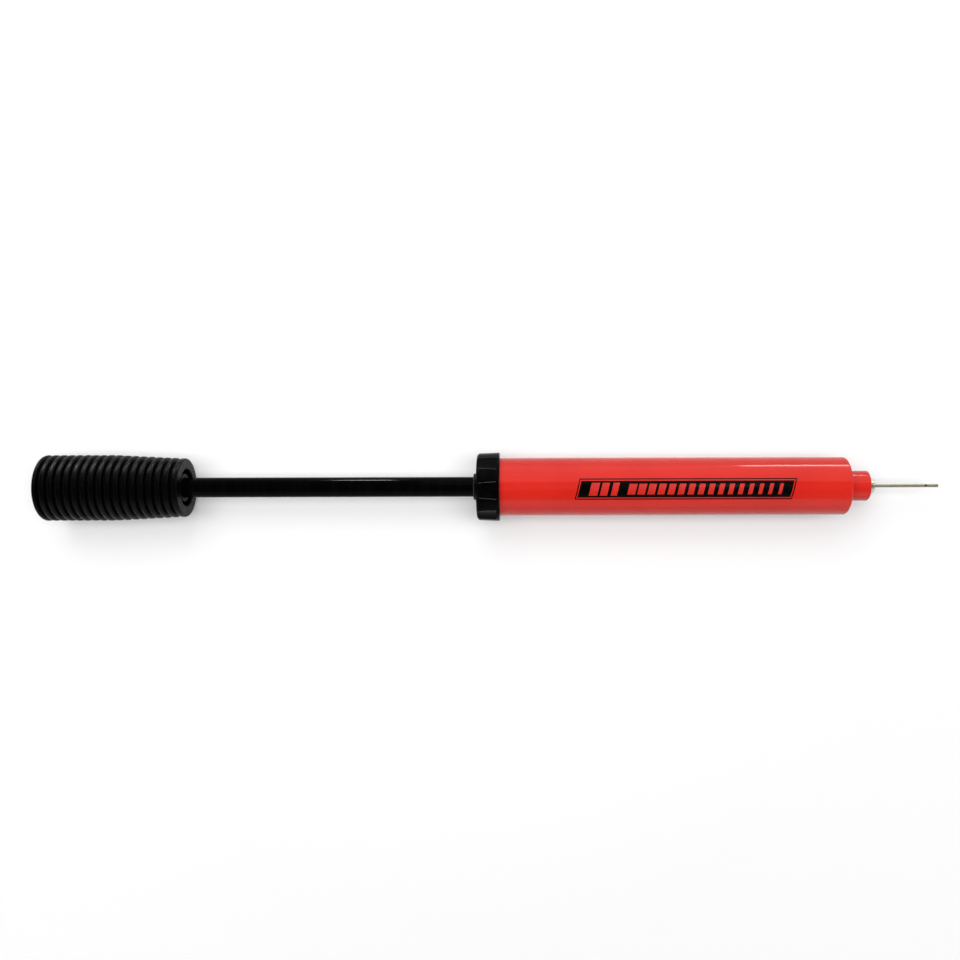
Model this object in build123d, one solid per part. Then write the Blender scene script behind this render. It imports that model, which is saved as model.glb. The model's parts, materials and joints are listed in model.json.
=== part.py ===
from build123d import *
import math
import os

os.makedirs("parts", exist_ok=True)

# Ball inflation pump lying on its side, handle pulled fully out.
# The pump's axis runs along X, the needle points to +X and the handle to -X.
# X is zero halfway along the whole pump. Every shape is made about an axis at height zero
# and lifted by axis_height when it is saved. All sizes are millimetres.

# ---- barrel with its neck, end wall and nozzle ----
barrel_radius = 16.0
barrel_bore_radius = 13.5
neck_radius = 14.8
neck_end_x = -1.2
shoulder_x = 4.5
barrel_end_x = 195.2
end_wall = 3.0
nozzle_radius = 8.33
nozzle_end_x = 207.5

# ---- needle socket and check valve inside the nozzle ----
socket_radius = 3.95
socket_floor_x = 199.5
lip_thickness = 0.8
lip_hole_radius = 1.5
chamber_radius = 3.2
seat_radius = 6.0
seat_thickness = 2.0
seat_hole_radius = 1.2
seat_lip_radius = 2.0
seat_lip_height = 0.4
disc_radius = 2.6
disc_thickness = 1.0
valve_gap = 0.05
spring_radius = 2.1
spring_wire_radius = 0.25
spring_turns = 3.5

# ---- screwed collar at the barrel's mouth ----
collar_rear_x = -8.1
collar_front_x = 4.4
collar_rear_radius = 18.5
collar_front_radius = 18.9
collar_rim_width = 1.6
collar_bore_radius = 15.3
collar_wall = 3.0
lobe_count = 7
groove_angle = 27.0
groove_depth = 1.0
first_groove_angle = 6.0

# ---- guide bush the rod slides in, and the sealing washer under it ----
bush_ring_x = -10.1
bush_ring_radius = 7.34
bush_flange_radius = 14.6
bush_flange_thickness = 2.5
bush_sleeve_radius = 9.0
bush_sleeve_end_x = 9.0
rod_clearance = 0.05
washer_inner_radius = 9.3
washer_outer_radius = 15.0
washer_gap = 0.1

# ---- rod, a tube with a tapped plug in each end ----
rod_radius = 5.5
rod_bore_radius = 4.0
rod_rear_x = -238.0
rod_front_x = 16.0
rear_plug_length = 16.0
front_plug_length = 14.0

# ---- piston on the rod's inner end ----
piston_rear_x = 10.0
piston_front_x = 32.0
piston_radius = 13.2
piston_waist_radius = 9.0
rear_land = 3.0
waist_end_x = 20.0
piston_web = 3.0
piston_recess_radius = 6.5
ring_centre_x = 25.0
ring_section_radius = 1.4
ring_outer_radius = 13.45
ring_groove_width = 3.6
ring_groove_radius = 10.55
air_slot_count = 4
air_slot_width = 2.5
air_slot_floor_radius = 11.4
piston_screw_radius = 2.0
piston_screw_head_radius = 3.8
piston_screw_head = 2.6
piston_screw_length = 15.0
piston_washer_radius = 5.5
piston_washer_thickness = 1.0

# ---- handle: ribbed grip, core that holds the rod, end cap, screw and washer ----
grip_rear_x = -246.9
grip_front_x = -169.2
grip_radius = 18.2
grip_front_radius = 16.2
taper_start_x = -207.9
grip_bore_radius = 10.3
rib_groove_count = 17
first_rib_groove_x = -243.7
rib_pitch = 4.42
rib_groove_top = 2.4
rib_groove_floor = 0.7
rib_groove_depth = 2.0
rib_crest_rounding = 1.0
core_radius = 7.85
core_front_x = -170.2
core_web_x = -181.2
cap_thickness = 2.6
cap_skirt_radius = 9.1
cap_skirt_end_x = -238.6
handle_screw_radius = 2.5
handle_screw_head_radius = 4.6
handle_screw_head = 3.0
handle_screw_length = 15.0
handle_washer_radius = 8.5
handle_washer_thickness = 1.2

# ---- ball needle ----
needle_radius = 0.9
needle_shank_radius = 0.65
needle_bore_radius = 0.4
needle_tip_x = 246.9
needle_rear_x = 201.2
side_hole_x = 240.0
side_hole_radius = 0.55
dimple_length = 2.8
dimple_depth = 0.28
head_radius = 4.2
head_rear_x = 207.6
head_front_x = 210.6
head_dome_x = 211.5
knurl_count = 12
knurl_radius = 0.45
needle_thread_radius = 3.5
gasket_spigot_radius = 1.6
gasket_outer_radius = 3.6
gasket_thickness = 1.0

axis_height = collar_front_radius


def turned(corners):
    """A solid turned about the pump's axis. Each corner is (x, radius, rounding)."""
    points = [(x, radius) for x, radius, rounding in corners]
    roundings = [rounding for x, radius, rounding in corners]
    with BuildPart() as made:
        with BuildSketch(Plane.XY):
            with BuildLine():
                if any(roundings):
                    FilletPolyline(*points, radius=roundings, close=True)
                else:
                    Polyline(*points, close=True)
            make_face()
        revolve(axis=Axis.X)
    return made.part


def along_x(radius, start_x, end_x, y=0.0, z=0.0):
    """A plain cylinder along X from start_x to end_x."""
    length = end_x - start_x
    return Pos((start_x + end_x) / 2, y, z) * Rot(0, 90, 0) * Cylinder(radius, length)


def slot_block(start_x, end_x, inner_radius, outer_radius, width):
    """A block above the axis, used to cut a straight slot along X."""
    size_x = end_x - start_x
    size_z = outer_radius - inner_radius
    place = Pos((start_x + end_x) / 2, 0, (inner_radius + outer_radius) / 2)
    return place * Box(size_x, width, size_z)


def around(shape, count, first_angle=0.0):
    """Copies of a shape spaced evenly about the pump's axis."""
    return [Rot(first_angle + step * 360 / count, 0, 0) * shape for step in range(count)]


def ring(inner_radius, outer_radius, start_x, end_x, rounding=0.0):
    """A flat washer, or any plain ring about the axis."""
    return turned([
        (start_x, inner_radius, 0),
        (start_x, outer_radius, rounding),
        (end_x, outer_radius, rounding),
        (end_x, inner_radius, 0),
    ])


def save(name, solid):
    """Lifts a solid to the axis height and writes it as one node."""
    export_step(Pos(0, 0, axis_height) * solid, f"parts/{name}.step")


def make_barrel():
    """Moulded barrel: threaded neck, cylinder, end wall and nozzle in one piece."""
    inner_end_x = barrel_end_x - end_wall
    chamber_start_x = inner_end_x + seat_thickness
    lip_start_x = socket_floor_x - lip_thickness
    return turned([
        (neck_end_x, barrel_bore_radius, 0.3),
        (neck_end_x, neck_radius, 0.5),
        (shoulder_x, neck_radius, 0),
        (shoulder_x, barrel_radius, 0.2),
        (barrel_end_x, barrel_radius, 1.5),
        (barrel_end_x, nozzle_radius, 0.5),
        (nozzle_end_x, nozzle_radius, 0.8),
        (nozzle_end_x, socket_radius, 0.2),
        (socket_floor_x, socket_radius, 0),
        (socket_floor_x, lip_hole_radius, 0),
        (lip_start_x, lip_hole_radius, 0),
        (lip_start_x, chamber_radius, 0),
        (chamber_start_x, chamber_radius, 0),
        (chamber_start_x, seat_radius, 0),
        (inner_end_x, seat_radius, 0),
        (inner_end_x, barrel_bore_radius, 1.0),
    ])


def make_valve_seat():
    """Plug pressed into the barrel's end wall, with a raised lip round its air hole."""
    rear_x = barrel_end_x - end_wall
    face_x = rear_x + seat_thickness
    lip_x = face_x + seat_lip_height
    return turned([
        (rear_x, seat_hole_radius, 0),
        (rear_x, seat_radius, 0),
        (face_x, seat_radius, 0),
        (face_x, seat_lip_radius, 0),
        (lip_x, seat_lip_radius, 0.15),
        (lip_x, seat_hole_radius, 0.15),
    ])


def valve_disc_rear_x():
    return barrel_end_x - end_wall + seat_thickness + seat_lip_height + valve_gap


def make_valve_disc():
    """Rubber disc that lifts off the seat when the pump delivers air."""
    rear_x = valve_disc_rear_x()
    front_x = rear_x + disc_thickness
    return turned([
        (rear_x, 0, 0),
        (rear_x, disc_radius, 0.2),
        (front_x, disc_radius, 0.2),
        (front_x, 0, 0),
    ])


def make_valve_spring():
    """Small coil spring between the disc and the lip at the chamber's far end."""
    start_x = valve_disc_rear_x() + disc_thickness + spring_wire_radius + valve_gap
    end_x = socket_floor_x - lip_thickness - spring_wire_radius - valve_gap
    height = end_x - start_x
    path = Helix(pitch=height / spring_turns, height=height, radius=spring_radius)
    section = Plane(origin=path @ 0, z_dir=path % 0) * Circle(spring_wire_radius)
    coil = sweep(section, path=path)
    return Pos(start_x, 0, 0) * Rot(0, 90, 0) * coil


def make_collar():
    """Screwed collar with a closed rear wall, rounded lobes and a plain front rim."""
    bore_start_x = collar_rear_x + collar_wall
    rim_start_x = collar_front_x - collar_rim_width
    body = turned([
        (collar_rear_x, bush_ring_radius, 0),
        (collar_rear_x, collar_rear_radius, 2.0),
        (rim_start_x, collar_front_radius, 0),
        (collar_front_x, collar_front_radius, 0.4),
        (collar_front_x, collar_bore_radius, 0.3),
        (bore_start_x, collar_bore_radius, 0),
        (bore_start_x, bush_ring_radius, 0),
    ])
    middle_radius = (collar_rear_radius + collar_front_radius) / 2
    half_angle = math.radians(groove_angle / 2)
    half_width = middle_radius * math.sin(half_angle)
    edge_height = middle_radius * math.cos(half_angle)
    floor_radius = middle_radius - groove_depth
    sagitta = edge_height - floor_radius
    cutter_radius = (half_width**2 + sagitta**2) / (2 * sagitta)
    cutter = along_x(cutter_radius, collar_rear_x - 1, rim_start_x, z=floor_radius + cutter_radius)
    return body - around(cutter, lobe_count, first_groove_angle)


def make_rod_guide_bush():
    """Flanged bush: its ring shows through the collar and its sleeve reaches into the barrel."""
    bore_radius = rod_radius + rod_clearance
    flange_x = collar_rear_x + collar_wall
    flange_end_x = flange_x + bush_flange_thickness
    return turned([
        (bush_ring_x, bore_radius, 0.3),
        (bush_ring_x, bush_ring_radius, 0.5),
        (flange_x, bush_ring_radius, 0),
        (flange_x, bush_flange_radius, 0.3),
        (flange_end_x, bush_flange_radius, 0.3),
        (flange_end_x, bush_sleeve_radius, 0),
        (bush_sleeve_end_x, bush_sleeve_radius, 0.5),
        (bush_sleeve_end_x, bore_radius, 0.3),
    ])


def make_collar_washer():
    """Rubber washer squeezed between the bush's flange and the barrel's mouth."""
    start_x = collar_rear_x + collar_wall + bush_flange_thickness + washer_gap
    end_x = neck_end_x - washer_gap
    return ring(washer_inner_radius, washer_outer_radius, start_x, end_x, 0.3)


def make_rod():
    """Steel tube, slightly rounded at both ends."""
    return turned([
        (rod_rear_x, rod_bore_radius, 0),
        (rod_rear_x, rod_radius, 0.3),
        (rod_front_x, rod_radius, 0.3),
        (rod_front_x, rod_bore_radius, 0),
    ])


def make_rod_rear_plug():
    """Tapped plug in the handle end of the rod."""
    return ring(handle_screw_radius, rod_bore_radius, rod_rear_x, rod_rear_x + rear_plug_length)


def make_rod_front_plug():
    """Tapped plug in the piston end of the rod."""
    start_x = rod_front_x - front_plug_length
    return ring(piston_screw_radius, rod_bore_radius, start_x, rod_front_x)


def make_piston_head():
    """Waisted piston: socket for the rod, groove for the ring, air slots past its rear side."""
    web_end_x = rod_front_x + piston_web
    groove_start_x = ring_centre_x - ring_groove_width / 2
    groove_end = ring_centre_x + ring_groove_width / 2
    body = turned([
        (piston_rear_x, rod_radius, 0.2),
        (piston_rear_x, piston_radius, 0.5),
        (piston_rear_x + rear_land, piston_radius, 0.3),
        (piston_rear_x + rear_land, piston_waist_radius, 0.5),
        (waist_end_x, piston_waist_radius, 0.5),
        (waist_end_x, piston_radius, 0.3),
        (groove_start_x, piston_radius, 0.2),
        (groove_start_x, ring_groove_radius, 0.2),
        (groove_end, ring_groove_radius, 0.2),
        (groove_end, piston_radius, 0.2),
        (piston_front_x, piston_radius, 0.8),
        (piston_front_x, piston_recess_radius, 0.3),
        (web_end_x, piston_recess_radius, 0),
        (web_end_x, piston_screw_radius, 0),
        (rod_front_x, piston_screw_radius, 0),
        (rod_front_x, rod_radius, 0),
    ])
    slot = slot_block(
        piston_rear_x - 1, groove_start_x, air_slot_floor_radius, piston_radius + 1, air_slot_width
    )
    return body - around(slot, air_slot_count)


def make_piston_ring():
    """O-ring that seals the piston against the barrel's bore."""
    centre = (ring_centre_x, ring_outer_radius - ring_section_radius)
    section = Pos(*centre) * Circle(ring_section_radius)
    return revolve(section, Axis.X)


def pan_screw(radius, head_radius, head_height, length, head_face_x, direction):
    """Pan head screw with a cross recess. The head stands on the side away from direction."""
    head_top_x = head_face_x - direction * head_height
    tip_x = head_face_x + direction * length
    shape = turned([
        (head_top_x, 0, 0),
        (head_top_x, head_radius, head_height * 0.45),
        (head_face_x, head_radius, 0),
        (head_face_x, radius, 0),
        (tip_x, radius, 0.4),
        (tip_x, 0, 0),
    ])
    recess_length = head_radius * 1.1
    recess_depth = head_height * 0.55
    recess_x = head_top_x + direction * recess_depth / 2
    bar = Pos(recess_x, 0, 0) * Box(recess_depth, recess_length, 0.9)
    return shape - bar - Rot(90, 0, 0) * bar


def make_piston_washer():
    """Steel washer in the piston's front recess."""
    start_x = rod_front_x + piston_web
    end_x = start_x + piston_washer_thickness
    return ring(piston_screw_radius, piston_washer_radius, start_x, end_x, 0.2)


def make_piston_screw():
    """Screw that holds the piston on the rod."""
    face_x = rod_front_x + piston_web + piston_washer_thickness
    return pan_screw(
        piston_screw_radius,
        piston_screw_head_radius,
        piston_screw_head,
        piston_screw_length,
        face_x,
        -1,
    )


def crest_radius(x):
    """Radius over the grip's ribs, straight at the rear and tapering to the front."""
    if x <= taper_start_x:
        return grip_radius
    share = (x - taper_start_x) / (grip_front_x - taper_start_x)
    return grip_radius + share * (grip_front_radius - grip_radius)


def make_handle_grip():
    """Ribbed grip: evenly spaced grooves round a sleeve that narrows towards the rod."""
    corners = [(grip_rear_x, grip_bore_radius, 0.3), (grip_rear_x, grip_radius, 1.3)]
    for step in range(rib_groove_count):
        centre_x = first_rib_groove_x + step * rib_pitch
        floor_radius = crest_radius(centre_x) - rib_groove_depth
        rear_edge_x = centre_x - rib_groove_top / 2
        front_edge_x = centre_x + rib_groove_top / 2
        corners += [
            (rear_edge_x, crest_radius(rear_edge_x), rib_crest_rounding),
            (centre_x - rib_groove_floor / 2, floor_radius, 0.3),
            (centre_x + rib_groove_floor / 2, floor_radius, 0.3),
            (front_edge_x, crest_radius(front_edge_x), rib_crest_rounding),
        ]
    corners += [
        (grip_front_x, grip_front_radius, 0.8),
        (grip_front_x, grip_bore_radius, 0.5),
    ]
    return turned(corners)


def make_handle_core():
    """Core inside the grip: a thick tube with a slimmer boss where the rod comes out."""
    return turned([
        (rod_rear_x, rod_radius, 0),
        (rod_rear_x, grip_bore_radius, 0),
        (core_web_x, grip_bore_radius, 0),
        (core_web_x, core_radius, 0.8),
        (core_front_x, core_radius, 0.6),
        (core_front_x, rod_radius, 0.3),
    ])


def make_handle_end_cap():
    """Push-in cap that closes the rear of the handle over the screw."""
    plate_x = grip_rear_x + cap_thickness
    dish_radius = 6.0
    dish_depth = 0.6
    return turned([
        (grip_rear_x + dish_depth, 0, 0),
        (grip_rear_x + dish_depth, dish_radius, 0.4),
        (grip_rear_x, dish_radius + 0.8, 0.3),
        (grip_rear_x, grip_bore_radius, 0.3),
        (cap_skirt_end_x, grip_bore_radius, 0.3),
        (cap_skirt_end_x, cap_skirt_radius, 0.3),
        (plate_x, cap_skirt_radius, 0.5),
        (plate_x, 0, 0),
    ])


def make_handle_washer():
    """Steel washer that clamps the core on the rod."""
    start_x = rod_rear_x - handle_washer_thickness
    return ring(handle_screw_radius, handle_washer_radius, start_x, rod_rear_x, 0.2)


def make_handle_screw():
    """Screw that holds the handle on the rod."""
    face_x = rod_rear_x - handle_washer_thickness
    return pan_screw(
        handle_screw_radius,
        handle_screw_head_radius,
        handle_screw_head,
        handle_screw_length,
        face_x,
        1,
    )


def make_needle_base():
    """Needle's metal base: knurled round head with a dome, thread body and gasket spigot."""
    gasket_start_x = needle_rear_x - gasket_thickness
    body = turned([
        (gasket_start_x, needle_shank_radius, 0),
        (gasket_start_x, gasket_spigot_radius, 0.2),
        (needle_rear_x, gasket_spigot_radius, 0),
        (needle_rear_x, needle_thread_radius, 0.3),
        (head_rear_x, needle_thread_radius, 0),
        (head_rear_x, head_radius, 0.2),
        (head_front_x, head_radius, 0.6),
        (head_dome_x, 1.5, 0.3),
        (head_dome_x, needle_shank_radius, 0),
    ])
    notch = along_x(knurl_radius, head_rear_x - 0.5, head_dome_x, z=head_radius + 0.1)
    return body - around(notch, knurl_count, 15)


def make_needle_tube():
    """Closed-ended needle on a slimmer shank, with a side hole in a shallow dimple."""
    start_x = needle_rear_x - gasket_thickness
    tube = turned([
        (start_x, needle_bore_radius, 0),
        (start_x, needle_shank_radius, 0),
        (head_dome_x, needle_shank_radius, 0),
        (head_dome_x, needle_radius, 0),
        (needle_tip_x, needle_radius, 0.55),
        (needle_tip_x, 0, 0),
        (side_hole_x + 1.0, 0, 0),
        (side_hole_x + 1.0, needle_bore_radius, 0),
    ])
    hole = Pos(side_hole_x, 0, needle_radius) * Cylinder(side_hole_radius, 2 * needle_radius)
    half = dimple_length / 2
    dimple_radius = (half**2 + dimple_depth**2) / (2 * dimple_depth)
    dimple_height = needle_radius - dimple_depth + dimple_radius
    dimple = Pos(side_hole_x, 0, dimple_height) * Rot(90, 0, 0) * Cylinder(dimple_radius, 4.0)
    return tube - hole - dimple


def make_needle_gasket():
    """Flat rubber gasket that seals the needle's base in the nozzle."""
    start_x = needle_rear_x - gasket_thickness + 0.1
    end_x = needle_rear_x - 0.05
    return ring(gasket_spigot_radius + 0.1, gasket_outer_radius, start_x, end_x, 0.15)


save("barrel", make_barrel())
save("valve_seat", make_valve_seat())
save("valve_disc", make_valve_disc())
save("valve_spring", make_valve_spring())
save("collar", make_collar())
save("rod_guide_bush", make_rod_guide_bush())
save("collar_washer", make_collar_washer())
save("rod", make_rod())
save("rod_rear_plug", make_rod_rear_plug())
save("rod_front_plug", make_rod_front_plug())
save("piston_head", make_piston_head())
save("piston_ring", make_piston_ring())
save("piston_washer", make_piston_washer())
save("piston_screw", make_piston_screw())
save("handle_grip", make_handle_grip())
save("handle_core", make_handle_core())
save("handle_end_cap", make_handle_end_cap())
save("handle_washer", make_handle_washer())
save("handle_screw", make_handle_screw())
save("needle_base", make_needle_base())
save("needle_tube", make_needle_tube())
save("needle_gasket", make_needle_gasket())
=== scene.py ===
import json
import math

import bpy
from mathutils import Matrix, Vector


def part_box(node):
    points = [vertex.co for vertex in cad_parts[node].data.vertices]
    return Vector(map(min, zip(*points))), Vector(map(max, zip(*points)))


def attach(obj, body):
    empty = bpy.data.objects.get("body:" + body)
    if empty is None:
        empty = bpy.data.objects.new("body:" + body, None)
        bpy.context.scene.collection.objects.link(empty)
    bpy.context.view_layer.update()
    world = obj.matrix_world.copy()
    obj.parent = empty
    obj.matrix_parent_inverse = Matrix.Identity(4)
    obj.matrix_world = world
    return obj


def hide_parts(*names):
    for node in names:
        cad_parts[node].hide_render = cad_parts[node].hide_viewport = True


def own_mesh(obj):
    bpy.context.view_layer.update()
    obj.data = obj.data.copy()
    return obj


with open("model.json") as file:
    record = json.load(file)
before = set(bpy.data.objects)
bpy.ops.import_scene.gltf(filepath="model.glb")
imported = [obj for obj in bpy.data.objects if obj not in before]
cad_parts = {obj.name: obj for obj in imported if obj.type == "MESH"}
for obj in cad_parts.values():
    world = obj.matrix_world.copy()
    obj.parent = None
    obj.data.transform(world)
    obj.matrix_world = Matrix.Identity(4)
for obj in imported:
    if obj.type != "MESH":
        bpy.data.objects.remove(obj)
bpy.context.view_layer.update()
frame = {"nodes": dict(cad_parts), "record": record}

nodes = frame["nodes"]
record = frame["record"]
scene = bpy.context.scene
scene.view_settings.view_transform = "Standard"

MM = 0.001

# ---- places read from the frame ----
collar_low, collar_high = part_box("collar")
barrel_low, barrel_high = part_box("barrel")
needle_rear_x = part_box("needle_base")[0].x
AXIS_Z = (collar_low.z + collar_high.z) / 2
BARREL_RADIUS = (barrel_high.z - barrel_low.z) / 2
ON_BARREL = (0.1, 0.0, AXIS_Z)
ON_ROD = (-0.07, 0.0, AXIS_Z)
ON_HANDLE = (-0.2, 0.0, AXIS_Z)

# ---- camera, above the pump and turned from straight down by a fraction of a degree ----
CAMERA_HEIGHT = 0.5216        # above the pump's axis
CAMERA_X = 0.0195
CAMERA_Y = 0.0037
CAMERA_TILT = math.radians(0.19)       # about Y, so the view leans along the pump
CAMERA_ROLL = math.radians(-0.16)
CAMERA_LENS = 35.29
CAMERA_SHIFT_X = -0.0458

# ---- surroundings: even grey at the sides that darkens overhead, where the camera hangs ----
SKY_SIDE_GREY = 0.62
SKY_SIDE_UP_TO = 0.3
SKY_TOP_GREY = 0.03
SKY_TOP_FROM = 0.9

# ---- light boxes beside the pump: high and low are angles from straight up, in degrees ----
LIGHT_BOX_DISTANCE = 1.3
WINDOW = {"power": 10.5, "x": 0.62, "length": 1.6, "side": 1, "high": 18.0, "low": 89.0}
FILL = {"power": 4.5, "x": 0.0, "length": 2.6, "side": -1, "high": 52.0, "low": 88.0}

# ---- floor ----
FLOOR_SIZE = 24.0
FLOOR_GREY = 0.55
GLOW_NEAR = 0.11              # within the near distance of the floor's middle
GLOW_NEAR_DISTANCE = 0.25
GLOW_FAR = 0.5                # from the far distance on
GLOW_FAR_DISTANCE = 2.2

# ---- painted highlights on sharp edges: how far round an edge reaches, and how sharp it has to be ----
EDGE_HIGHLIGHT_REACH = 0.4 * MM
EDGE_HIGHLIGHT_FAINT = 0.03
EDGE_HIGHLIGHT_FULL = 0.3

# ---- printed panel on the barrel: along from its left end, up from its lower edge ----
PANEL_X = 45.0 * MM
PANEL_LENGTH = 116.9 * MM
PANEL_SLANT = 2.8 * MM
PANEL_BOTTOM = math.radians(26.0)      # round the barrel from straight up, towards -Y
PANEL_TOP = math.radians(-16.0)
PANEL_LIFT = 0.03 * MM
PANEL_STRIPS = 16                      # strips across the panel's full height
OUTLINE_WIDTH = 0.6 * MM
OUTLINE_SHARE = 0.055                  # the outline's long sides, as a share of the height
FIELD_MARGIN = 1.25 * MM
FIELD_BOTTOM = 0.11
FIELD_TOP = 0.89

# ---- slanted bars inside the panel: three wide ones, then a row that shrinks ----
BAR_LIFT = 0.05 * MM
WIDE_BARS_X = 7.0 * MM
WIDE_BARS_PITCH = 5.9 * MM
WIDE_BAR_WIDTHS = [4.6 * MM, 4.0 * MM, 3.4 * MM]
WIDE_BARS_BOTTOM = 0.2
WIDE_BARS_TOP = 0.8
ROW_X = 27.5 * MM
ROW_PITCH = 5.4 * MM
ROW_COUNT = 16
ROW_FIRST_WIDTH_MM = 4.3
ROW_SHRINK_MM = 0.16
ROW_BOTTOM = 0.25
ROW_TOP = 0.75

# ---- threads, seen when the collar or the needle is unscrewed ----
THREAD_STEPS = 48                      # round one turn
THREAD_FADE_STEPS = 12                 # over which the ridge rises and falls at its ends
THREAD_SINK = 0.1 * MM                 # how far the ridge's foot is sunk in the core
THREAD_FOOT = 0.42                     # half widths of the ridge, as shares of the pitch
THREAD_CREST = 0.10
NECK_THREAD = {
    "start": 1.0 * MM, "turns": 1.9, "pitch": 2.0 * MM, "core": 14.8 * MM, "crest": 15.2 * MM}
NEEDLE_THREAD = {
    "start": 1.5 * MM, "turns": 6.8, "pitch": 0.794 * MM, "core": 3.5 * MM, "crest": 3.86 * MM}

# ---- dark sheet of painted shade in the needle's bore, round its side hole ----
SIDE_HOLE_X = 240.0 * MM
BORE_SHADE_RADIUS = 0.39 * MM
BORE_SHADE_BEHIND = 4.0 * MM
BORE_SHADE_AHEAD = 0.95 * MM
BORE_SHADE_STEPS = 12


# ---- camera ----
def make_camera():
    """Looks straight down at the pump from close by."""
    data = bpy.data.cameras.new("camera")
    data.lens = CAMERA_LENS
    data.sensor_width = 36.0
    data.shift_x = CAMERA_SHIFT_X
    data.clip_start = 0.01
    data.clip_end = 20.0
    camera = bpy.data.objects.new("camera", data)
    scene.collection.objects.link(camera)
    place = Matrix.Translation((CAMERA_X, CAMERA_Y, AXIS_Z + CAMERA_HEIGHT))
    tilt = Matrix.Rotation(CAMERA_TILT, 4, "Y")
    roll = Matrix.Rotation(CAMERA_ROLL, 4, "Z")
    camera.matrix_world = place @ tilt @ roll
    scene.camera = camera


# ---- lights ----
def make_area_light(name, power, length, width, place, target=(0.0, 0.0, 0.0)):
    """A soft rectangular light at place, facing target, its length along X."""
    data = bpy.data.lights.new(name, "AREA")
    data.shape = "RECTANGLE"
    data.energy = power
    data.size = length
    data.size_y = width
    light = bpy.data.objects.new(name, data)
    scene.collection.objects.link(light)
    light.location = place
    light.rotation_mode = "QUATERNION"
    light.rotation_quaternion = (Vector(target) - Vector(place)).to_track_quat("-Z", "Y")
    return light


def make_light_box(name, power, x, length, side, high, low):
    """A light on one side of the pump that fills the sky between two angles from straight up."""
    middle = math.radians((high + low) / 2)
    half = math.radians((low - high) / 2)
    across = side * LIGHT_BOX_DISTANCE * math.sin(middle)
    place = (x, across, LIGHT_BOX_DISTANCE * math.cos(middle))
    width = 2 * LIGHT_BOX_DISTANCE * math.tan(half)
    return make_area_light(name, power, length, width, place, (x, 0.0, 0.0))


def make_world():
    """Even pale surroundings that darken overhead."""
    world = bpy.data.worlds.new("studio")
    world.use_nodes = True
    tree = world.node_tree
    coords = tree.nodes.new("ShaderNodeTexCoord")
    split = tree.nodes.new("ShaderNodeSeparateXYZ")
    ramp = tree.nodes.new("ShaderNodeValToRGB")
    side, top = ramp.color_ramp.elements
    side.position = SKY_SIDE_UP_TO
    side.color = (SKY_SIDE_GREY, SKY_SIDE_GREY, SKY_SIDE_GREY, 1.0)
    top.position = SKY_TOP_FROM
    top.color = (SKY_TOP_GREY, SKY_TOP_GREY, SKY_TOP_GREY, 1.0)
    tree.links.new(coords.outputs["Generated"], split.inputs["Vector"])
    tree.links.new(split.outputs["Z"], ramp.inputs["Fac"])
    tree.links.new(ramp.outputs["Color"], tree.nodes["Background"].inputs["Color"])
    scene.world = world


def make_lights():
    """Light from above and the sides. Some only show in reflections, some only light surfaces."""
    make_world()
    window = make_light_box("window", **WINDOW)
    window.visible_diffuse = False
    fill = make_light_box("fill", **FILL)
    fill.visible_diffuse = False
    ceiling = make_area_light(
        "ceiling", power=42.0, length=2.6, width=0.8, place=(0.0, 0.05, 1.7))
    ceiling.visible_glossy = False
    key = make_area_light(
        "key", power=10.0, length=1.0, width=0.7, place=(-0.25, 0.75, 1.1))
    key.visible_glossy = False
    make_area_light(
        "side_lamp", power=0.9, length=0.18, width=0.09,
        place=(0.43, 0.9, 0.05), target=ON_BARREL)
    make_area_light(
        "top_lamp", power=0.12, length=0.09, width=0.10,
        place=(0.32, 0.05, 1.03), target=ON_BARREL)
    handle_lamp = make_area_light(
        "handle_lamp", power=7.5, length=0.35, width=0.4,
        place=(-0.75, 0.95, 0.22), target=ON_HANDLE)
    handle_lamp.visible_diffuse = False
    rod_lamp = make_area_light(
        "rod_lamp", power=4.0, length=0.085, width=0.08,
        place=(-0.224, 0.9, 0.05), target=ON_ROD)
    rod_lamp.visible_diffuse = False


# ---- floor ----
def make_floor():
    """Pale floor with a faint glow that grows with distance, so it fades into the surroundings."""
    bpy.ops.mesh.primitive_plane_add(size=FLOOR_SIZE, location=(0.0, 0.0, 0.0))
    floor = bpy.context.object
    floor.name = "floor"
    material = bpy.data.materials.new("floor_white")
    material.use_nodes = True
    tree = material.node_tree
    shader = tree.nodes["Principled BSDF"]
    shader.inputs["Base Color"].default_value = (FLOOR_GREY, FLOOR_GREY, FLOOR_GREY, 1.0)
    shader.inputs["Roughness"].default_value = 0.8
    shader.inputs["Specular IOR Level"].default_value = 0.1
    shader.inputs["Emission Color"].default_value = (1.0, 1.0, 1.0, 1.0)
    coords = tree.nodes.new("ShaderNodeTexCoord")
    distance = tree.nodes.new("ShaderNodeVectorMath")
    distance.operation = "LENGTH"
    glow = tree.nodes.new("ShaderNodeMapRange")
    glow.inputs["From Min"].default_value = GLOW_NEAR_DISTANCE
    glow.inputs["From Max"].default_value = GLOW_FAR_DISTANCE
    glow.inputs["To Min"].default_value = GLOW_NEAR
    glow.inputs["To Max"].default_value = GLOW_FAR
    tree.links.new(coords.outputs["Object"], distance.inputs[0])
    tree.links.new(distance.outputs["Value"], glow.inputs["Value"])
    tree.links.new(glow.outputs["Result"], shader.inputs["Emission Strength"])
    floor.data.materials.append(material)


# ---- building blocks for materials ----
def start_material(name, specular, ior):
    """A new material, its node tree and its shader."""
    material = bpy.data.materials.new(name)
    material.use_nodes = True
    tree = material.node_tree
    shader = tree.nodes["Principled BSDF"]
    shader.inputs["Specular IOR Level"].default_value = specular
    shader.inputs["IOR"].default_value = ior
    return material, tree, shader


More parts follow.
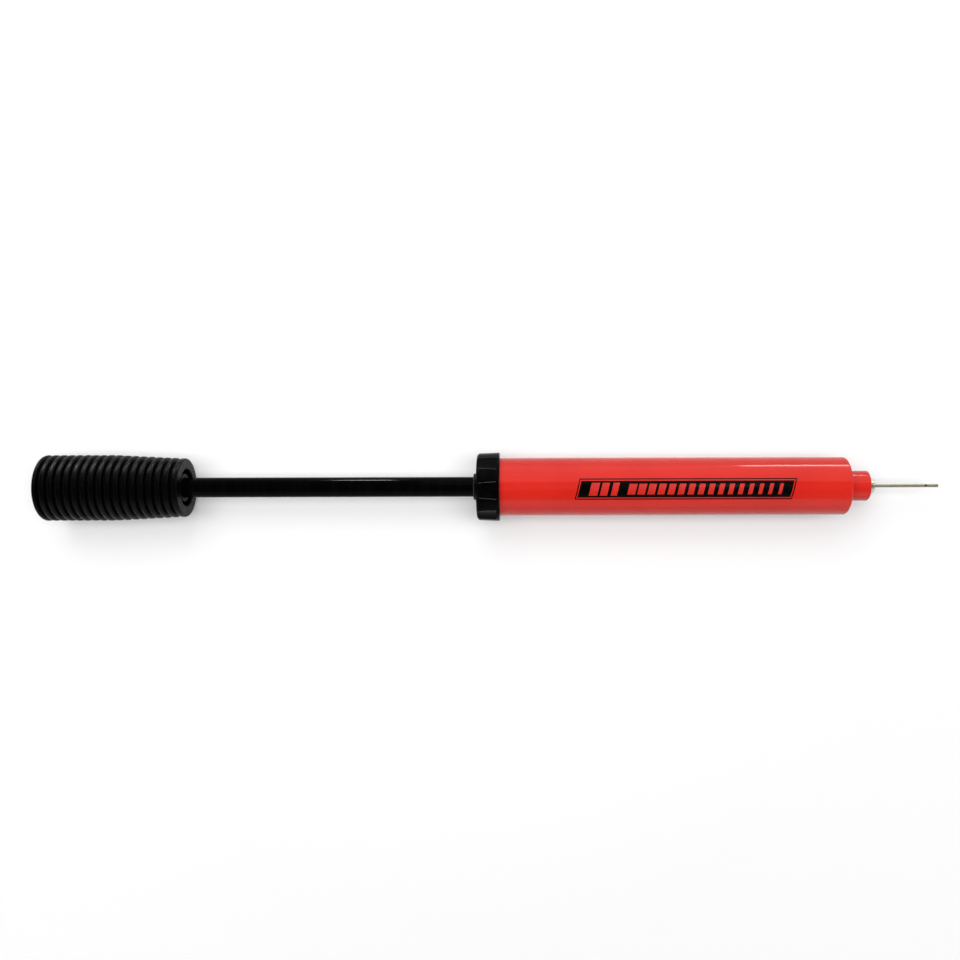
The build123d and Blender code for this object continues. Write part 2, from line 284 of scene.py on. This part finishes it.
def grain(tree, scale, detail=3.0, stretch=(1.0, 1.0, 1.0)):
    """Noise fixed to the piece, 0 to 1. Scale is per metre, and a stretch under 1 draws it out."""
    coords = tree.nodes.new("ShaderNodeTexCoord")
    mapping = tree.nodes.new("ShaderNodeMapping")
    mapping.inputs["Scale"].default_value = stretch
    noise = tree.nodes.new("ShaderNodeTexNoise")
    noise.inputs["Scale"].default_value = scale
    noise.inputs["Detail"].default_value = detail
    tree.links.new(coords.outputs["Object"], mapping.inputs["Vector"])
    tree.links.new(mapping.outputs["Vector"], noise.inputs["Vector"])
    return noise.outputs["Fac"]


def tint(tree, shader, pattern, low, high, first, second):
    """Base colour that goes from first to second as the pattern rises from low to high."""
    ramp = tree.nodes.new("ShaderNodeValToRGB")
    start, end = ramp.color_ramp.elements
    start.position = low
    start.color = (*first, 1.0)
    end.position = high
    end.color = (*second, 1.0)
    tree.links.new(pattern, ramp.inputs["Fac"])
    tree.links.new(ramp.outputs["Color"], shader.inputs["Base Color"])


def polish(tree, shader, pattern, low, high):
    """Roughness from low to high over the middle of the pattern."""
    spread = tree.nodes.new("ShaderNodeMapRange")
    spread.inputs["From Min"].default_value = 0.3
    spread.inputs["From Max"].default_value = 0.7
    spread.inputs["To Min"].default_value = low
    spread.inputs["To Max"].default_value = high
    tree.links.new(pattern, spread.inputs["Value"])
    tree.links.new(spread.outputs["Result"], shader.inputs["Roughness"])


def emboss(tree, shader, *layers):
    """Bump from several layers of (pattern, depth in metres)."""
    normal = None
    for pattern, depth in layers:
        bump = tree.nodes.new("ShaderNodeBump")
        bump.inputs["Distance"].default_value = depth
        tree.links.new(pattern, bump.inputs["Height"])
        if normal:
            tree.links.new(normal, bump.inputs["Normal"])
        normal = bump.outputs["Normal"]
    tree.links.new(normal, shader.inputs["Normal"])


def paint_edge_highlights(tree, shader, colour, round_share):
    """Painted highlights: the base colour goes towards a paler one where the surface turns
    sharply.
    A round_share of 1 keeps the edges that run round the pump, and -1 leaves them out."""
    bevel = tree.nodes.new("ShaderNodeBevel")
    bevel.samples = 4
    bevel.inputs["Radius"].default_value = EDGE_HIGHLIGHT_REACH
    geometry = tree.nodes.new("ShaderNodeNewGeometry")
    turn = tree.nodes.new("ShaderNodeVectorMath")
    turn.operation = "SUBTRACT"
    tree.links.new(bevel.outputs["Normal"], turn.inputs[0])
    tree.links.new(geometry.outputs["Normal"], turn.inputs[1])
    lengths = []
    for axes in ((1.0, 0.0, 0.0), (0.0, 1.0, 1.0)):
        part = tree.nodes.new("ShaderNodeVectorMath")
        part.operation = "MULTIPLY"
        part.inputs[1].default_value = axes
        length = tree.nodes.new("ShaderNodeVectorMath")
        length.operation = "LENGTH"
        tree.links.new(turn.outputs["Vector"], part.inputs[0])
        tree.links.new(part.outputs["Vector"], length.inputs[0])
        lengths.append(length.outputs["Value"])
    along_x, across_x = lengths
    edge = tree.nodes.new("ShaderNodeMath")
    edge.operation = "MULTIPLY_ADD"
    edge.inputs[1].default_value = round_share
    tree.links.new(along_x, edge.inputs[0])
    tree.links.new(across_x, edge.inputs[2])
    share = tree.nodes.new("ShaderNodeMapRange")
    share.inputs["From Min"].default_value = EDGE_HIGHLIGHT_FAINT
    share.inputs["From Max"].default_value = EDGE_HIGHLIGHT_FULL
    mix = tree.nodes.new("ShaderNodeMix")
    mix.data_type = "RGBA"
    base = shader.inputs["Base Color"].links[0].from_socket
    tree.links.new(edge.outputs["Value"], share.inputs["Value"])
    tree.links.new(share.outputs["Result"], mix.inputs["Factor"])
    tree.links.new(base, mix.inputs["A"])
    mix.inputs["B"].default_value = (*colour, 1.0)
    tree.links.new(mix.outputs["Result"], shader.inputs["Base Color"])


ALONG = (0.03, 1.0, 1.0)        # streaks that run along the pump
AROUND = (1.0, 0.04, 0.04)      # marks that run round it


# ---- materials, one for each finish ----
def make_barrel_red():
    """Glossy moulded red: faint clouding, hairline handling scratches, slight orange peel."""
    material, tree, shader = start_material("barrel_red", 0.3, 1.42)
    deep = (0.41, 0.0115, 0.0065)
    pale = (0.445, 0.0150, 0.0090)
    tint(tree, shader, grain(tree, 35.0), 0.3, 0.7, deep, pale)
    polish(tree, shader, grain(tree, 700.0, 4.0, ALONG), 0.05, 0.12)
    peel = grain(tree, 450.0, 1.0)
    scratches = grain(tree, 2500.0, 2.0, ALONG)
    emboss(tree, shader, (peel, 0.004 * MM), (scratches, 0.002 * MM))
    return material


def make_plastic(name, colour, worn, roughness, depth, specular=0.06, edges=None, round_share=1.0):
    """Moulded plastic: a little clouding, satin grain, fine rub marks, painted highlights on sharp
    edges if asked.
    """
    material, tree, shader = start_material(name, specular, 1.42)
    tint(tree, shader, grain(tree, 120.0, 5.0), 0.4, 0.8, colour, worn)
    # Painted highlights: a paler base colour along sharp edges.
    if edges:
        paint_edge_highlights(tree, shader, edges, round_share)
    polish(tree, shader, grain(tree, 600.0), roughness - 0.07, roughness + 0.08)
    emboss(tree, shader, (grain(tree, 3000.0), depth), (grain(tree, 260.0, 1.0), depth))
    return material


def make_rubber(name, colour, dust, roughness, depth, specular=0.06):
    """Rubber with a fine grain and a few pale specks of dust."""
    material, tree, shader = start_material(name, specular, 1.4)
    tint(tree, shader, grain(tree, 1600.0, 6.0), 0.62, 0.78, colour, dust)
    polish(tree, shader, grain(tree, 300.0), roughness - 0.08, roughness + 0.1)
    emboss(tree, shader, (grain(tree, 2400.0, 5.0), depth))
    return material


def make_rod_black():
    """Glossy black coating with hairlines along the stroke and faint rings from the bush."""
    material, tree, shader = start_material("rod_black", 0.03, 1.4)
    rings = grain(tree, 260.0, 4.0, AROUND)
    tint(tree, shader, rings, 0.45, 0.8, (0.0006, 0.0006, 0.0006), (0.0015, 0.0015, 0.0015))
    polish(tree, shader, grain(tree, 1800.0, 3.0, ALONG), 0.05, 0.13)
    emboss(tree, shader, (grain(tree, 3500.0, 2.0, ALONG), 0.0015 * MM))
    return material


def make_turned_metal(name, colour, dull, roughness, stretch=AROUND):
    """Metal with tool marks one way and patches that have dulled."""
    material, tree, shader = start_material(name, 0.5, 1.5)
    shader.inputs["Metallic"].default_value = 1.0
    shader.inputs["Specular Tint"].default_value = (0.45, 0.44, 0.4, 1.0)
    tint(tree, shader, grain(tree, 220.0, 5.0), 0.35, 0.75, colour, dull)
    polish(tree, shader, grain(tree, 3000.0, 3.0, stretch), roughness - 0.06, roughness + 0.1)
    emboss(tree, shader, (grain(tree, 5000.0, 2.0, stretch), 0.006 * MM))
    return material


def make_ink(name, colour, worn, roughness):
    """Printing ink, slightly uneven and rubbed in places."""
    material, tree, shader = start_material(name, 0.25, 1.42)
    tint(tree, shader, grain(tree, 900.0, 6.0), 0.55, 0.85, colour, worn)
    polish(tree, shader, grain(tree, 500.0, 3.0), roughness, roughness + 0.12)
    emboss(tree, shader, (grain(tree, 2200.0, 2.0), 0.003 * MM))
    return material


# One for each material slot, one for the needle's tube, and one for the dark sheet of painted
# shade in its bore.
finishes = {
    "red_barrel_plastic": make_barrel_red(),
    # The collar and the bush get painted highlights along their sharp edges, in a pale grey.
    "black_collar_plastic": make_plastic(
        "collar_black", (0.0005, 0.0005, 0.0005), (0.002, 0.002, 0.002), 0.16, 0.005 * MM,
        specular=0.03, edges=(0.09, 0.09, 0.083), round_share=-1.0),
    "black_bush_plastic": make_plastic(
        "bush_black", (0.0008, 0.0008, 0.0008), (0.003, 0.003, 0.003), 0.25, 0.006 * MM,
        edges=(0.05, 0.05, 0.047)),
    "black_rod_finish": make_rod_black(),
    "grip_rubber": make_rubber(
        "grip_black", (0.0005, 0.0005, 0.0005), (0.006, 0.006, 0.0055), 0.32, 0.015 * MM,
        specular=0.09),
    "core_plastic": make_plastic(
        "core_black", (0.0009, 0.0009, 0.0009), (0.003, 0.003, 0.003), 0.3, 0.008 * MM),
    "piston_plastic": make_plastic(
        "piston_white", (0.68, 0.67, 0.63), (0.55, 0.53, 0.48), 0.45, 0.006 * MM, 0.5),
    "seal_rubber": make_rubber(
        "seal_black", (0.012, 0.012, 0.012), (0.035, 0.035, 0.033), 0.55, 0.01 * MM),
    "plug_aluminium": make_turned_metal(
        "plug_aluminium", (0.72, 0.73, 0.74), (0.55, 0.56, 0.57), 0.3),
    "valve_brass": make_turned_metal(
        "valve_brass", (0.75, 0.55, 0.26), (0.5, 0.36, 0.17), 0.28),
    "spring_steel": make_turned_metal(
        "spring_steel", (0.6, 0.6, 0.6), (0.42, 0.42, 0.41), 0.25),
    "fastener_steel": make_turned_metal(
        "fastener_steel", (0.64, 0.64, 0.65), (0.45, 0.45, 0.44), 0.3),
    "needle_plated_metal": make_turned_metal(
        "needle_metal", (0.78, 0.74, 0.64), (0.55, 0.52, 0.43), 0.32),
    "needle_tube": make_turned_metal(
        "needle_tube_metal", (0.44, 0.41, 0.33), (0.3, 0.28, 0.225), 0.5, ALONG),
    # Near-black finish of the sheet that paints shade in the needle's bore.
    "needle_bore": make_turned_metal(
        "needle_bore_dark", (0.02, 0.02, 0.018), (0.01, 0.01, 0.009), 0.6),
}


def paint_nodes():
    """Gives every CAD node its own finish if it has one, or that of its material slot."""
    for part in record["subparts"]:
        node = part["node"]
        mesh = nodes[node].data
        mesh.materials.clear()
        mesh.materials.append(finishes.get(node, finishes[part["material_slot"]]))


# ---- pieces added to the CAD ----
def add_piece(name, points, faces, material, body):
    """A mesh made in the row frame that rides on one CAD body."""
    mesh = bpy.data.meshes.new(name)
    mesh.from_pydata(points, [], faces)
    mesh.validate()
    mesh.materials.append(material)
    mesh.shade_smooth()
    piece = bpy.data.objects.new(name, mesh)
    scene.collection.objects.link(piece)
    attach(piece, body)


def round_axis(x, radius, angle):
    """A point at that distance from the pump's axis, its angle from +Y towards straight up."""
    return (x, radius * math.cos(angle), AXIS_Z + radius * math.sin(angle))


def panel_point(along, up, lift):
    """A point on the printed panel, lifted off the barrel's surface."""
    angle = PANEL_BOTTOM + up * (PANEL_TOP - PANEL_BOTTOM)
    radius = BARREL_RADIUS + lift
    x = PANEL_X + along + up * PANEL_SLANT
    return (x, -radius * math.sin(angle), AXIS_Z + radius * math.cos(angle))


def make_print(name, regions, lift, material):
    """Ink on the barrel. Each region is (along from, along to, up from, up to)."""
    points = []
    faces = []
    for along_from, along_to, up_from, up_to in regions:
        steps = max(2, round(PANEL_STRIPS * (up_to - up_from)))
        first = len(points)
        for step in range(steps + 1):
            up = up_from + (up_to - up_from) * step / steps
            points += [panel_point(along_from, up, lift), panel_point(along_to, up, lift)]
        for step in range(steps):
            corner = first + 2 * step
            faces.append((corner, corner + 1, corner + 3, corner + 2))
    add_piece(name, points, faces, material, "barrel")


def make_panel():
    """Slanted black panel with a thin outline, and plain red slanted bars of shrinking width."""
    black = make_ink("ink_black", (0.0008, 0.0008, 0.0008), (0.004, 0.004, 0.004), 0.12)
    red = make_ink("ink_red", (0.38, 0.014, 0.009), (0.42, 0.025, 0.018), 0.14)
    end = PANEL_LENGTH
    inner_top = 1.0 - OUTLINE_SHARE
    make_print("panel_outline", [
        (0.0, end, 0.0, OUTLINE_SHARE),
        (0.0, end, inner_top, 1.0),
        (0.0, OUTLINE_WIDTH, OUTLINE_SHARE, inner_top),
        (end - OUTLINE_WIDTH, end, OUTLINE_SHARE, inner_top),
    ], PANEL_LIFT, black)
    field = (FIELD_MARGIN, end - FIELD_MARGIN, FIELD_BOTTOM, FIELD_TOP)
    make_print("panel_field", [field], PANEL_LIFT, black)

    bars = []
    for step, width in enumerate(WIDE_BAR_WIDTHS):
        start = WIDE_BARS_X + step * WIDE_BARS_PITCH
        bars.append((start, start + width, WIDE_BARS_BOTTOM, WIDE_BARS_TOP))
    for step in range(ROW_COUNT):
        start = ROW_X + step * ROW_PITCH
        width = (ROW_FIRST_WIDTH_MM - ROW_SHRINK_MM * step) * MM
        bars.append((start, start + width, ROW_BOTTOM, ROW_TOP))
    make_print("panel_bars", bars, BAR_LIFT, red)


def make_thread(name, start_x, turns, pitch, core, crest, body, material):
    """A right-hand thread's ridge, from core radius to crest radius, that fades at both ends."""
    steps = round(turns * THREAD_STEPS)
    foot_radius = core - THREAD_SINK
    points = []
    faces = []
    for step in range(steps + 1):
        angle = 2 * math.pi * step / THREAD_STEPS
        height = min(1.0, step / THREAD_FADE_STEPS, (steps - step) / THREAD_FADE_STEPS)
        top_radius = foot_radius + (crest - foot_radius) * height
        x = start_x + pitch * step / THREAD_STEPS
        profile = [
            (-THREAD_FOOT * pitch, foot_radius),
            (-THREAD_CREST * pitch, top_radius),
            (THREAD_CREST * pitch, top_radius),
            (THREAD_FOOT * pitch, foot_radius),
        ]
        points += [round_axis(x + offset, radius, angle) for offset, radius in profile]
    for step in range(steps):
        for side in range(4):
            here = 4 * step + side
            beside = 4 * step + (side + 1) % 4
            faces.append((here, beside, beside + 4, here + 4))
    add_piece(name, points, faces, material, body)


def make_threads():
    """Threads on the barrel's neck and on the needle's base."""
    for name, size, rear_x, body, finish in (
        ("neck_thread", NECK_THREAD, barrel_low.x, "barrel", "red_barrel_plastic"),
        ("needle_thread", NEEDLE_THREAD, needle_rear_x, "needle", "needle_plated_metal"),
    ):
        make_thread(name, rear_x + size["start"], size["turns"], size["pitch"],
                    size["core"], size["crest"], body, finishes[finish])


def make_bore_shade():
    """A dark sheet over the lower half of the needle's bore, seen through the side hole: painted
    shade.
    """
    points = []
    faces = []
    for step in range(BORE_SHADE_STEPS + 1):
        angle = math.pi * (1 + step / BORE_SHADE_STEPS)
        points.append(round_axis(SIDE_HOLE_X - BORE_SHADE_BEHIND, BORE_SHADE_RADIUS, angle))
        points.append(round_axis(SIDE_HOLE_X + BORE_SHADE_AHEAD, BORE_SHADE_RADIUS, angle))
    for step in range(BORE_SHADE_STEPS):
        corner = 2 * step
        faces.append((corner, corner + 1, corner + 3, corner + 2))
    add_piece("needle_bore_painted_shade", points, faces, finishes["needle_bore"], "needle")


def make_valve_spring():
    """The check valve's coil, which in the real pump shortens against the nozzle as the disc
    lifts: here a copy of the spring's mesh that rides on the barrel in place of the CAD node.
    """
    coil = bpy.data.objects.new("valve_spring_coil", nodes["valve_spring"].data.copy())
    scene.collection.objects.link(coil)
    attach(coil, "barrel")
    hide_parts("valve_spring")
    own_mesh(coil)


make_camera()
make_lights()
make_floor()
paint_nodes()
make_panel()
make_threads()
make_bore_shade()
make_valve_spring()
